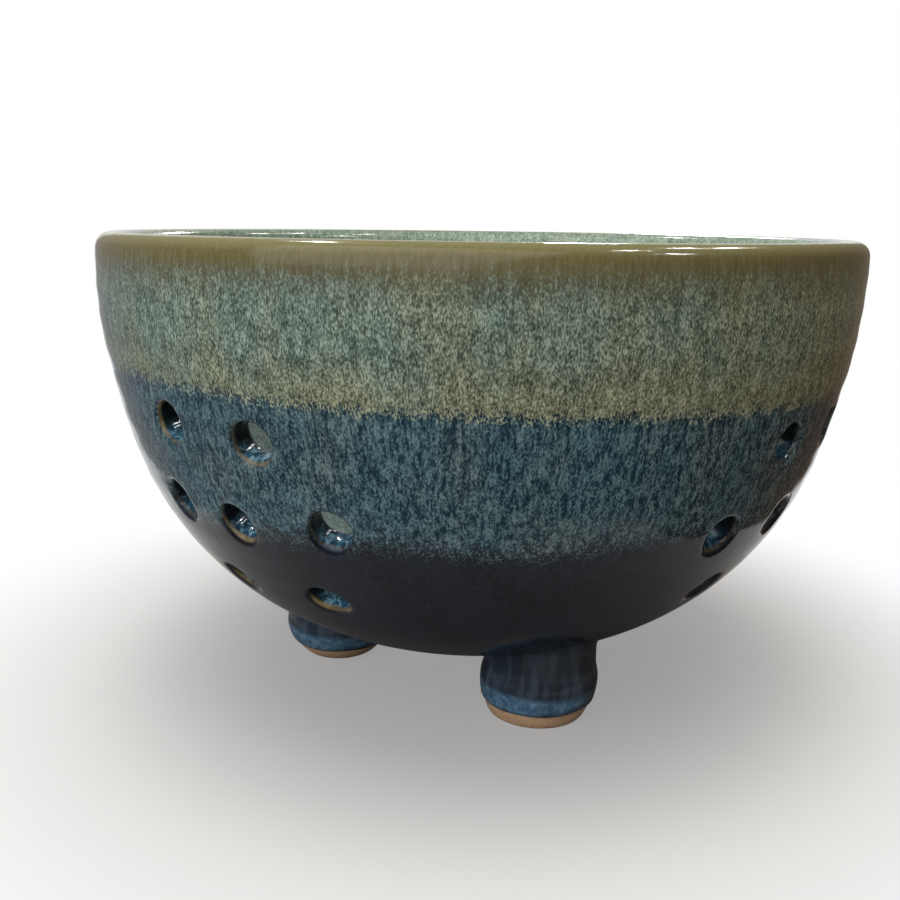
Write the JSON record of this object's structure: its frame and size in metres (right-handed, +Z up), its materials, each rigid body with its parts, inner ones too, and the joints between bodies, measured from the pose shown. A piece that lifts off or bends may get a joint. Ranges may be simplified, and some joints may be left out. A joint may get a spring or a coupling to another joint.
{
  "type": "berry colander bowl",
  "caption": "Round footed stoneware bowl, pierced with flower-shaped groups of drain holes for rinsing berries, with a contrasting glaze dipped over its rim.",
  "frame": {"origin": "on the table, below the middle of the bowl, between its feet", "axes": "+Z up along the bowl's axis, -Y to the front, +X to the right"},
  "size_m": [0.165, 0.165, 0.101],
  "materials": {
    "stoneware": "bare fired brown stoneware, dry and faintly gritty",
    "slip": "fired joining slip, matt",
    "blue_glaze": "glossy dark blue stoneware glaze with fine pale vertical streaks, amber where it thins",
    "green_glaze": "glossy grey-green stoneware glaze with fine speckle, olive brown at the rim"
  },
  "bodies": {
    "root": {"bowl_body": "stoneware", "foot_front": "stoneware", "foot_left": "stoneware", "foot_rear": "stoneware", "slip_joint_front": "slip", "slip_joint_left": "slip", "slip_joint_rear": "slip", "blue_base_glaze": "blue_glaze", "green_rim_glaze": "green_glaze"}
  },
  "joints": []
}
